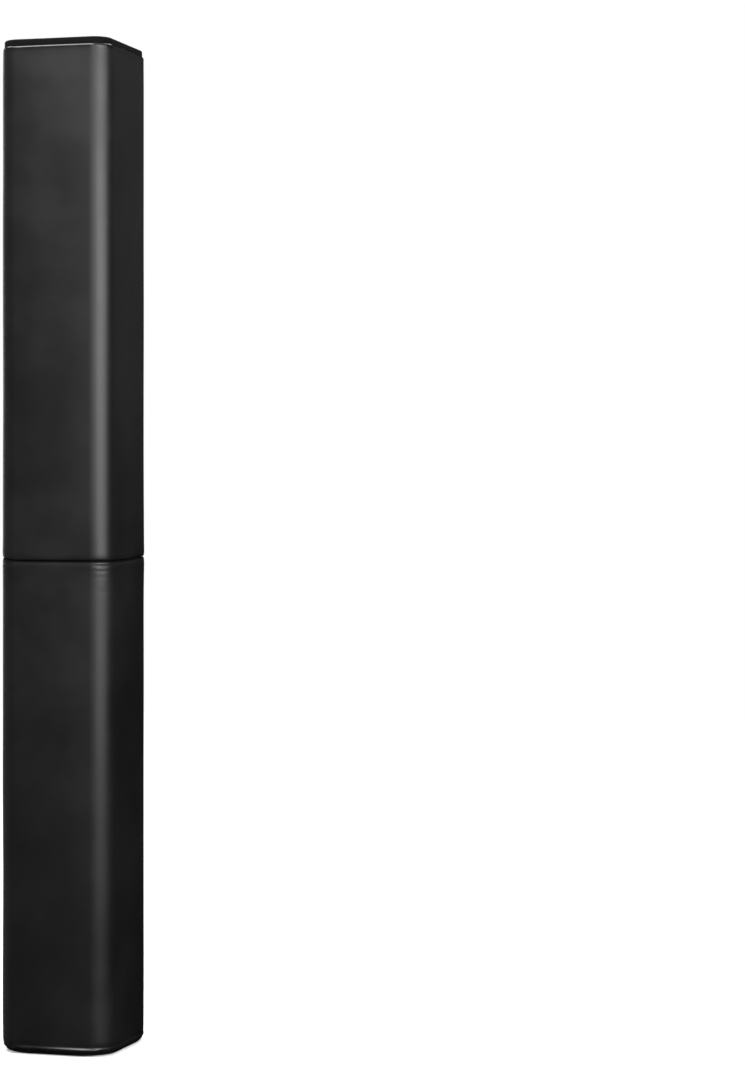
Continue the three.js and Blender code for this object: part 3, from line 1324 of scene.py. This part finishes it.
    def shaped(self, spot: Vector, panel: Panel) -> Vector:
        """Gives a point of the block its place on the arched core.

        Args:
            spot: the point, in the front panel's place.
            panel: which core.

        Returns:
            The point, drawn in at the rolls and raised or lowered to the arch at the ends.
        """
        x, y, z = spot
        low, high = self.section.low_seam, self.section.high_seam
        form = self.section.top if z > (low + high) / 2 else self.section.bottom
        inset = self.section.inset_at(z)
        inner_draw = self.end_draw * inset / form.seam_inset
        outer = (-y - self.inner) / (self.half - self.inner)
        scale = 1 - (outer * inset - (1 - outer) * inner_draw) / -y
        near_nose = max(1 - abs(x) / self.nose_reach, 0.0)
        x += panel.nose_side * near_nose * (inset + inner_draw)
        moved = Vector((x * scale, y * scale, z))
        for panels in self.ends:
            if abs(z - panels.seam) < self.near:
                lift = panels.rise * panels.height(panel, moved, self.depth(moved, panel))
                moved.z = panels.seam + panels.end.way * (max(lift, 0.0) - self.clearance)
        return moved

    def depth(self, spot: Vector, panel: Panel) -> float:
        """Gives how far a place is under the outline.

        Args:
            spot: the place in the front panel's frame.
            panel: whose outline it is.

        Returns:
            The depth.
        """
        radius = self.plan.radii(panel)[0 if spot.x < 0 else 1]
        centre = self.plan.half_side - radius
        across, ahead = abs(spot.x) - centre, -spot.y - centre
        if across > 0 and ahead > 0:
            return radius - math.hypot(across, ahead)
        return self.plan.half_side + spot.y

    def round_nose(self, piece: Piece, panel: Panel) -> None:
        """Cuts a rear core at its closing edge, draws its face in under the flap and rounds the edge.

        Args:
            piece: the core.
            panel: which one it is.
        """
        side, face = panel.nose_side, self.half
        edge = side * (self.plan.rear_gap / 2 + self.cover)
        self.bisect((edge, 0, 0), (-side, 0, 0), cut=True)
        if panel is Panel.LEFT_REAR:
            for x in (self.plan.recess_end, self.plan.recess_end + self.plan.recess_ramp):
                self.bisect((x, 0, 0), (1, 0, 0))
            mesh = bmesh.from_edit_mesh(piece.data)
            for vertex in mesh.verts:
                if vertex.co.y < self.plan.recess - face:
                    vertex.co.y += self.plan.recess_at(vertex.co.x)
            bmesh.update_edit_mesh(piece.data)
            face -= self.plan.recess
        for place, radius in ((face, self.plan.nose_outer_radius), (self.inner, self.plan.nose_inner_radius)):
            self.bevel(piece, lambda spot, place=place: abs(spot.x - edge) < self.near
                       and abs(spot.y + place) < self.near, radius - self.cover)


@dataclass
class Liners(Part):
    """The woven linings against the pole, with a doubled hem at both ends."""

    thickness: float = 0.9 * MM
    seat_share: float = 0.98
    hem: float = 12 * MM
    hem_thickness: float = 0.1 * MM
    row_spacing: Spacing = Spacing(3 * MM, 12 * MM, 0.2)
    seam_clearance: float = 1.2 * MM
    side_clearance: float = 0.4 * MM

    def build(self) -> list[Piece]:
        """Makes, dresses and mounts the linings."""
        return [self.liner(panel) for panel in Panel]

    def liner(self, panel: Panel) -> Piece:
        """Makes one lining.

        Args:
            panel: the padded panel that it lines.

        Returns:
            The lining, riding on its panel's body.
        """
        low = self.section.low_seam + self.seam_clearance
        high = self.section.high_seam - self.seam_clearance
        mitre = self.plan.channel_half - self.side_clearance
        free = self.plan.rear_gap / 2 + self.plan.nose_inner_radius + self.side_clearance
        left = free if panel is Panel.LEFT_REAR else -mitre
        right = -free if panel is Panel.RIGHT_REAR else mitre
        columns = [left + (right - left) * share for share in shares(right - left, self.plan.spacing)]
        rows = self.row_spacing.over(low, high)
        seat = self.plan.channel_half + self.thickness * self.seat_share

        def at(column: int, row: int) -> Vector:
            """Gives the place of a column and a row.

            Args:
                column: counted across the sheet.
                row: counted up the sheet.

            Returns:
                The place.
            """
            doubled = min(rows[row] - low, high - rows[row]) < self.hem
            depth = seat - (self.hem_thickness if doubled else 0.0)
            return Vector((*panel.home(columns[column], -depth), rows[row]))

        name = self.named(panel.label, "lining")
        piece = lay(name, columns, rows, at, self.thickness - self.hem_thickness)
        return self.finish_sheet(piece, Look.LINING, [self.named(panel.label, "liner")],
                                 (right - left, high - low), [self.named(panel.label, "foam")],
                                 self.named(panel.label))


@dataclass
class Closure(Part):
    """The closing flap, its stitching, and the hook and loop tapes, at the back of a section."""

    corner_radius: float = 10 * MM
    hem: float = 7 * MM
    hem_rise: float = 0.35 * MM
    hem_ramp: float = 1.2 * MM
    root_band: float = 8 * MM
    sag: float = 0.35 * MM
    sag_pitch: Pair = (60 * MM, 70 * MM)
    sag_slice: float = 0.37
    flap_columns: Spacing = Spacing(1.2 * MM, 4 * MM, 0.25)
    flap_rows: Spacing = Spacing(1.2 * MM, 6 * MM, 0.08)
    tape_thickness: float = 1.5 * MM
    tape_columns: Spacing = Spacing(0.8 * MM, 1.0 * MM, 0.1)
    tape_rows: Spacing = Spacing(1.2 * MM, 1.2 * MM, 0.0)
    tape_ramp: float = 2 * MM
    pile_pitch: float = 1.6 * MM
    rib_pitch: float = 2.4 * MM
    rib_rise: float = 0.4 * MM
    stitch_length: float = 3.4 * MM
    stitch_pitch: float = 4.6 * MM
    thread: float = 0.62 * MM
    bead_segments: int = 6
    bead_rings: int = 5
    seam_margins: Pair = (2.5 * MM, 7 * MM)
    tape_margin: float = 2 * MM
    end_margin: float = 5 * MM

    def __post_init__(self) -> None:
        """Names the flap's node and takes its box."""
        self.flap_node = self.named("closing_flap")
        self.low, self.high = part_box(self.flap_node)

    def build(self) -> list[Piece]:
        """Makes and dresses the closure, and hangs the tapes on their bodies.

        Returns:
            The flap, the hook tape, the loop tape and the stitching.
        """
        pieces = [self.flap()]
        for kind, body in (("hook", "flap"), ("loop", "left_rear")):
            pieces.append(self.tape(kind, self.named(body)))
        return pieces + [self.stitching()]

    def root_bend(self, piece: Piece) -> None:
        """Bakes a piece's transform into its mesh; the names of the right rear panel and the flap are made
        but not used.

        Args:
            piece: the flap or its stitching.
        """
        self.named("right_rear")
        self.named("flap")
        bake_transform(piece)

    def flap_lift(self, x: float, z: float) -> float:
        """Gives how far the flap's outer face stands off its plain plane.

        Args:
            x: across the flap.
            z: up the flap.

        Returns:
            The rise of the hems, and a soft sag between them.
        """
        inside = min(x - self.low.x, z - self.low.z, self.high.z - z)
        rise = self.hem_rise * (1 - smooth((inside - self.hem) / self.hem_ramp))
        wave = noise.noise(Vector((x / self.sag_pitch[0], self.sag_slice, z / self.sag_pitch[1])))
        return rise + self.sag * wave

    def flap(self) -> Piece:
        """Makes the flap: one vinyl strip, rounded at its free corners and hemmed round its edge.

        Returns:
            The flap.
        """
        low, high = self.low, self.high
        columns = self.flap_columns.over(low.x, high.x)[::-1]
        rows = self.flap_rows.over(low.z, high.z)

        def at(column: int, row: int) -> Vector:
            """Gives the place of a column and a row.

            Args:
                column: counted across the sheet.
                row: counted up the sheet.

            Returns:
                The place.
            """
            x = columns[column]
            inside = max(self.corner_radius - (x - low.x), 0.0)
            cut = self.corner_radius - math.sqrt(self.corner_radius ** 2 - inside ** 2)
            share = (rows[row] - low.z) / (high.z - low.z)
            z = low.z + cut + (high.z - low.z - 2 * cut) * share
            return Vector((x, high.y + self.flap_lift(x, z), z))

        piece = lay(self.named("flap_sheet"), columns, rows, at, high.y - low.y - self.sag)
        self.finish_sheet(piece, Look.VINYL, [self.flap_node], (high.x - low.x, high.z - low.z),
                          [self.named("left_rear_skin")], held="laid")
        self.root_bend(piece)
        return piece

    def tape(self, kind: str, body: str) -> Piece:
        """Makes a hook or a loop tape.

        Args:
            kind: hook or loop.
            body: that it rides on.

        Returns:
            The tape, ribbed or piled on its gripping side.
        """
        node = self.named(kind, "tape")
        low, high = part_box(node)
        hooks = kind == "hook"
        columns = self.tape_columns.over(low.x, high.x)[::1 if hooks else -1]
        rows = self.tape_rows.over(low.z, high.z)
        face, back = (low.y, 1) if hooks else (high.y, -1)

        def at(column: int, row: int) -> Vector:
            """Gives the place of a column and a row.

            Args:
                column: counted across the sheet.
                row: counted up the sheet.

            Returns:
                The place.
            """
            x, z = columns[column], rows[row]
            edge = min(x - low.x, high.x - x, z - low.z, high.z - z)
            rib = math.cos(math.tau * z / self.rib_pitch)
            pile = noise.noise(Vector((x, 0, z)) / self.pile_pitch)
            rise = self.rib_rise * (1 + (rib if hooks else pile)) / 2 * smooth(edge / self.tape_ramp)
            return Vector((x, face + back * (self.rib_rise - rise), z))

        piece = lay(node + "_strip", columns, rows, at, self.tape_thickness - self.rib_rise)
        under = self.flap_node if hooks else self.named("left_rear_cover")
        return self.finish_sheet(piece, Look.TAPE, [node], (high.x - low.x, high.z - low.z), [under],
                                 body, "laid")

    def stitching(self) -> Piece:
        """Makes the rows of stitches: two at the sewn edge, and one down each side of the hook tape.

        Returns:
            The stitches, as one piece.
        """
        tape_low, tape_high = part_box(self.named("hook_tape"))
        places = [self.high.x - margin for margin in self.seam_margins]
        places += [tape_low.x + self.tape_margin, tape_high.x - self.tape_margin]
        rows = [self.stitch_row(x) for x in places]
        deselect_all()
        for row in rows:
            row.select_set(True)
        piece = rows[0]
        bpy.context.view_layer.objects.active = piece
        bpy.ops.object.join()
        piece.name = piece.data.name = self.named("flap_stitching")
        self.dresser.dress(piece, Look.THREAD)
        self.root_bend(piece)
        return piece

    def stitch_row(self, x: float) -> Piece:
        """Makes one row of stitches up the flap.

        Args:
            x: where the row is.

        Returns:
            The row, each stitch a bead of thread sunk in the flap's face.
        """
        start, end = self.low.z + self.end_margin, self.high.z - self.end_margin
        deselect_all()
        bpy.ops.mesh.primitive_uv_sphere_add(
            segments=self.bead_segments, ring_count=self.bead_rings, radius=0.5,
            location=(x, self.high.y, start), scale=(self.thread, self.thread, self.stitch_length))
        row = bpy.context.object
        bpy.ops.object.transform_apply(location=True, rotation=True, scale=True)
        array = row.modifiers.new("row", "ARRAY")
        array.use_relative_offset = False
        array.use_constant_offset = True
        array.constant_offset_displace = (0, 0, self.stitch_pitch)
        array.count = int((end - start) / self.stitch_pitch)
        apply_modifiers(row)
        for vertex in row.data.vertices:
            vertex.co.y += self.flap_lift(x, vertex.co.z)
        bpy.ops.object.shade_smooth()
        return row


@dataclass
class PadSection(Part):
    """A whole padded section, built from its sub-assemblies in order."""

    def build(self) -> list[Piece]:
        """Builds every piece of the section, from the foam outwards.

        Returns:
            The pieces.
        """
        kit = (self.plan, self.section, self.dresser)
        ends = [EndPanels(*kit, end) for end in End]
        parts = [FoamCores(*kit), Skins(*kit), *ends, Liners(*kit), Closure(*kit)]
        return [piece for part in parts for piece in part.build()]


@dataclass(frozen=True)
class Lamp:
    """One softbox, by its direction round the pad: 0 is the way the front faces, 90 the right side."""

    name: str
    azimuth: float
    distance: float
    height: float
    aim_height: float
    size: Pair
    radiance: float

    @property
    def spot(self) -> Vector:
        """Where it stands."""
        turn = math.radians(self.azimuth)
        return Vector((math.sin(turn) * self.distance, -math.cos(turn) * self.distance, self.height))

    @property
    def power(self) -> float:
        """The watts that give its face its radiance."""
        return self.radiance * math.pi * self.size[0] * self.size[1]


@dataclass(frozen=True)
class Studio:
    """The pale floor, the plain soft lights and the photograph's camera.

    Dim cards stand round the pad and lie on the floor, and show in gloss alone: they are painted
    reflections, dark sheets with a painted glow that set what the vinyl mirrors. Their glow is
    strongest towards one azimuth at the left of the back, and fades out between the two turns from
    dark_azimuth.
    """

    frame_height_px: float = 1080
    horizon_px: float = 496.65
    focal_px: float = 2987
    axis_degrees: float = 15.32
    distance: float = 5.463
    sideways: float = 0.5477
    eye_height: float = 1.0035
    sensor_mm: float = 36
    floor_side: float = 16.0
    floor_shade: Shade = (0.8, 0.8, 0.8)
    floor_lift: Pair = (0.36, 0.86)
    floor_lift_reach: Pair = (0.7, 3.2)
    room_light: float = 0.25
    # Painted reflections: the cards' near-black shade and their glow show only in the vinyl's gloss.
    reflection_card_shade: Shade = (0.004, 0.004, 0.004)
    card_reach: float = 4.0
    card_height: float = 4.4
    card_corners: int = 24
    card_lift: float = 0.2 * MM
    card_reflection_glow: float = 0.01
    side_reflection_glow: float = 0.16
    reflection_glow_azimuth: float = 250
    dark_azimuth: float = 162
    dark_turn: Pair = (46, 20)
    lamps: tuple[Lamp, ...] = (
        Lamp("corner box", 57, 3.0, 1.7, 1.7, (2.4, 2.0), 6.2),
        Lamp("front box", 27, 3.0, 2.15, 1.95, (3.0, 2.3), 2.7),
        Lamp("top box", -21, 1.8, 3.7, 1.8, (1.8, 1.0), 15.0),
        Lamp("left top box", 255, 1.8, 3.9, 0.9, (1.6, 1.0), 9.0),
        Lamp("right fill", 150, 3.0, 2.0, 1.5, (2.0, 1.8), 0.12),
        Lamp("back box", 170, 1.5, 3.8, 0.8, (2.0, 1.2), 8.0),
        Lamp("rear left box", 226, 3.0, 1.7, 1.1, (1.2, 2.2), 2.0),
    )

    def build(self) -> None:
        """Sets up the camera, the floor, the cards, the world and the lamps."""
        self.camera()
        self.floor()
        self.cards()
        self.world()
        for lamp in self.lamps:
            self.lamp(lamp)
        bpy.context.scene.view_settings.view_transform = "Standard"

    def camera(self) -> None:
        """Places the photograph's camera, level, with its horizon above the middle of the frame."""
        turn = math.radians(self.axis_degrees)
        ahead = Vector((-math.sin(turn), math.cos(turn), 0))
        right = Vector((math.cos(turn), math.sin(turn), 0))
        data = bpy.data.cameras.new("view")
        data.sensor_width = self.sensor_mm
        data.lens = self.focal_px * self.sensor_mm / self.frame_height_px
        data.shift_y = (self.horizon_px - self.frame_height_px / 2) / self.frame_height_px
        camera = bpy.data.objects.new("view", data)
        spot = -ahead * self.distance + right * self.sideways
        camera.location = (spot.x, spot.y, self.eye_height)
        camera.rotation_euler = (QUARTER, 0, turn)
        bpy.context.scene.collection.objects.link(camera)
        bpy.context.scene.camera = camera

    def floor(self) -> None:
        """Lays the pale floor, which fades to white away from the pad and keeps its shadow."""
        deselect_all()
        bpy.ops.mesh.primitive_plane_add(size=self.floor_side)
        floor = bpy.context.object
        floor.name = "studio_floor"
        tree, shader = self.matt(floor, self.floor_shade)
        where = add_node(tree, "TexCoord", {}).outputs["Object"]
        away = add_node(tree, "VectorMath", {0: where}, operation="LENGTH").outputs["Value"]
        lift = ranged(tree, away, self.floor_lift_reach, self.floor_lift)
        fill(tree, shader, {"Emission Strength": maths(tree, "MULTIPLY", self.seen(tree), lift)})

    def cards(self) -> None:
        """Stands dim cards round the pad and lays one on the floor, open above: painted reflections, seen in
        gloss alone.
        """
        deselect_all()
        bpy.ops.mesh.primitive_cylinder_add(vertices=self.card_corners, radius=self.card_reach,
                                            depth=self.card_height, end_fill_type="NOTHING",
                                            location=(0, 0, self.card_height / 2))
        wall = bpy.context.object
        bpy.ops.mesh.primitive_circle_add(vertices=self.card_corners, radius=self.card_reach,
                                          fill_type="NGON", location=(0, 0, self.card_lift))
        for cards, name in ((wall, "standing_cards"), (bpy.context.object, "floor_card")):
            cards.name = name
            tree, shader = self.matt(cards, self.reflection_card_shade)
            # Painted reflection: the cards' dark shade and painted glow show only in gloss, where they set
            # what the vinyl mirrors.
            fill(tree, shader, {"Emission Strength": self.glow(tree)})
            cards.visible_camera = cards.visible_diffuse = cards.visible_shadow = False
            cards.visible_transmission = cards.visible_volume_scatter = False

    def glow(self, tree: Tree) -> Socket:
        """Makes the cards' dim painted glow, a painted reflection seen in the vinyl's gloss alone.

        Args:
            tree: the cards' material nodes.

        Returns:
            Its strength, strongest at the left and none at the right of the back.
        """
        where = add_node(tree, "TexCoord", {}).outputs["Object"]
        plan = add_node(tree, "VectorMath", {0: where, 1: (1, 1, 0)}, operation="MULTIPLY").outputs["Vector"]
        way = add_node(tree, "VectorMath", {0: plan}, operation="NORMALIZE").outputs["Vector"]
        towards = []
        for azimuth in (self.reflection_glow_azimuth, self.dark_azimuth):
            turn = math.radians(azimuth)
            inputs = {0: way, 1: (math.sin(turn), -math.cos(turn), 0)}
            towards.append(add_node(tree, "VectorMath", inputs, operation="DOT_PRODUCT").outputs["Value"])
        nearness = maths(tree, "POWER", maths(tree, "MAXIMUM", towards[0], 0.0), 2.0)
        side = maths(tree, "MULTIPLY_ADD", nearness, self.side_reflection_glow, self.card_reflection_glow)
        reach = [math.cos(math.radians(turn)) for turn in self.dark_turn]
        return maths(tree, "MULTIPLY", side, ranged(tree, towards[1], reach, (1.0, 0.0)))

    @staticmethod
    def matt(stage: Piece, shade: Shade) -> tuple[Tree, bpy.types.Node]:
        """Gives a stage piece a matt material that can glow white.

        Args:
            stage: the piece.
            shade: its colour.

        Returns:
            The material's nodes and its shader.
        """
        material = bpy.data.materials.new(stage.name + "_finish")
        material.use_nodes = True
        shader = material.node_tree.nodes["Principled BSDF"]
        fill(material.node_tree, shader, {
            "Base Color": (*shade, 1.0),
            "Roughness": 1.0,
            "Specular IOR Level": 0.0,
            "Emission Color": WHITE,
        })
        stage.data.materials.append(material)
        return material.node_tree, shader

    @staticmethod
    def seen(tree: Tree) -> Socket:
        """Makes a mask of what the camera sees, also in gloss and through glass.

        Args:
            tree: the nodes that it joins.

        Returns:
            The mask.
        """
        path = add_node(tree, "LightPath", {}).outputs
        seen = path["Is Camera Ray"]
        for ray in ("Is Glossy Ray", "Is Transmission Ray"):
            seen = maths(tree, "MAXIMUM", seen, path[ray])
        return seen

    def world(self) -> None:
        """Lights the room plainly, and makes it white where the camera sees it."""
        world = bpy.data.worlds.new("room")
        world.use_nodes = True
        tree = world.node_tree
        strength = maths(tree, "MAXIMUM", self.seen(tree), self.room_light)
        fill(tree, tree.nodes["Background"], {"Color": WHITE, "Strength": strength})
        bpy.context.scene.world = world

    def lamp(self, lamp: Lamp) -> None:
        """Hangs one softbox and aims it at the pad.

        Args:
            lamp: which one.
        """
        data = bpy.data.lights.new(lamp.name, "AREA")
        data.shape = "RECTANGLE"
        data.size, data.size_y = lamp.size
        data.energy = lamp.power
        light = bpy.data.objects.new(lamp.name, data)
        light.location = lamp.spot
        aim = Vector((0, 0, lamp.aim_height)) - lamp.spot
        light.rotation_euler = aim.to_track_quat("-Z", "Y").to_euler()
        light.visible_camera = False
        bpy.context.scene.collection.objects.link(light)


FREE_TOP = EndForm(2.2 * MM, 4.5 * MM, 8, pucker=0.06, tension=1.0)
UNDER_JOINT = EndForm(0.9 * MM, 10 * MM, 14, turn=math.radians(30))
OVER_JOINT = EndForm(1.8 * MM, 12 * MM, 14, lap=1.4 * MM)
FLOOR_END = EndForm(1.6 * MM, 4 * MM, 4, tension=0.7, tight_reach=11 * MM)
CREASES_BELOW_JOINT = (
    Crease(5.6 * MM, 1.3 * MM, 2.0 * MM),
    Crease(15 * MM, 0.4 * MM, 2.4 * MM),
    Crease(26 * MM, 0.2 * MM, 2.6 * MM),
    Crease(53 * MM, 0.3 * MM, 2.6 * MM),
)


def read_section(name: str, bottom: EndForm, top: EndForm, creases: tuple[Crease, ...] = ()) -> Section:
    """Reads a section's heights from the frame.

    Args:
        name: lower or upper.
        bottom: the form of its lower end.
        top: the form of its upper end.
        creases: round its corners, below its upper seam.

    Returns:
        The section.
    """
    cover_low, cover_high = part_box(f"{name}_front_cover")
    low_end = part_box(f"{name}_front_bottom_end")[0].z
    high_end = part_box(f"{name}_front_top_end")[1].z
    return Section(name, cover_low.z, cover_high.z, low_end, high_end, bottom, top, creases)


def main() -> None:
    """Builds the studio and both sections, and reports each piece."""
    Studio().build()
    plan = WrapPlan(half_side=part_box("lower_right_rear_cover")[1].y,
                    channel_half=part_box("lower_right_side_liner")[0].x)
    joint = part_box("upper_front_bottom_end")[0].z
    dresser = Dresser(Effects(), Settling(plan.half_side, plan.channel_half, joint))
    sections = (
        read_section("lower", FLOOR_END, UNDER_JOINT, CREASES_BELOW_JOINT),
        read_section("upper", OVER_JOINT, FREE_TOP),
    )
    for section in sections:
        for piece in PadSection(plan, section, dresser).build():
            log.info("%s: %d faces", piece.name, len(piece.data.polygons))


if __name__ == "__main__":
    logging.basicConfig(level=logging.INFO, format="%(message)s")
    main()
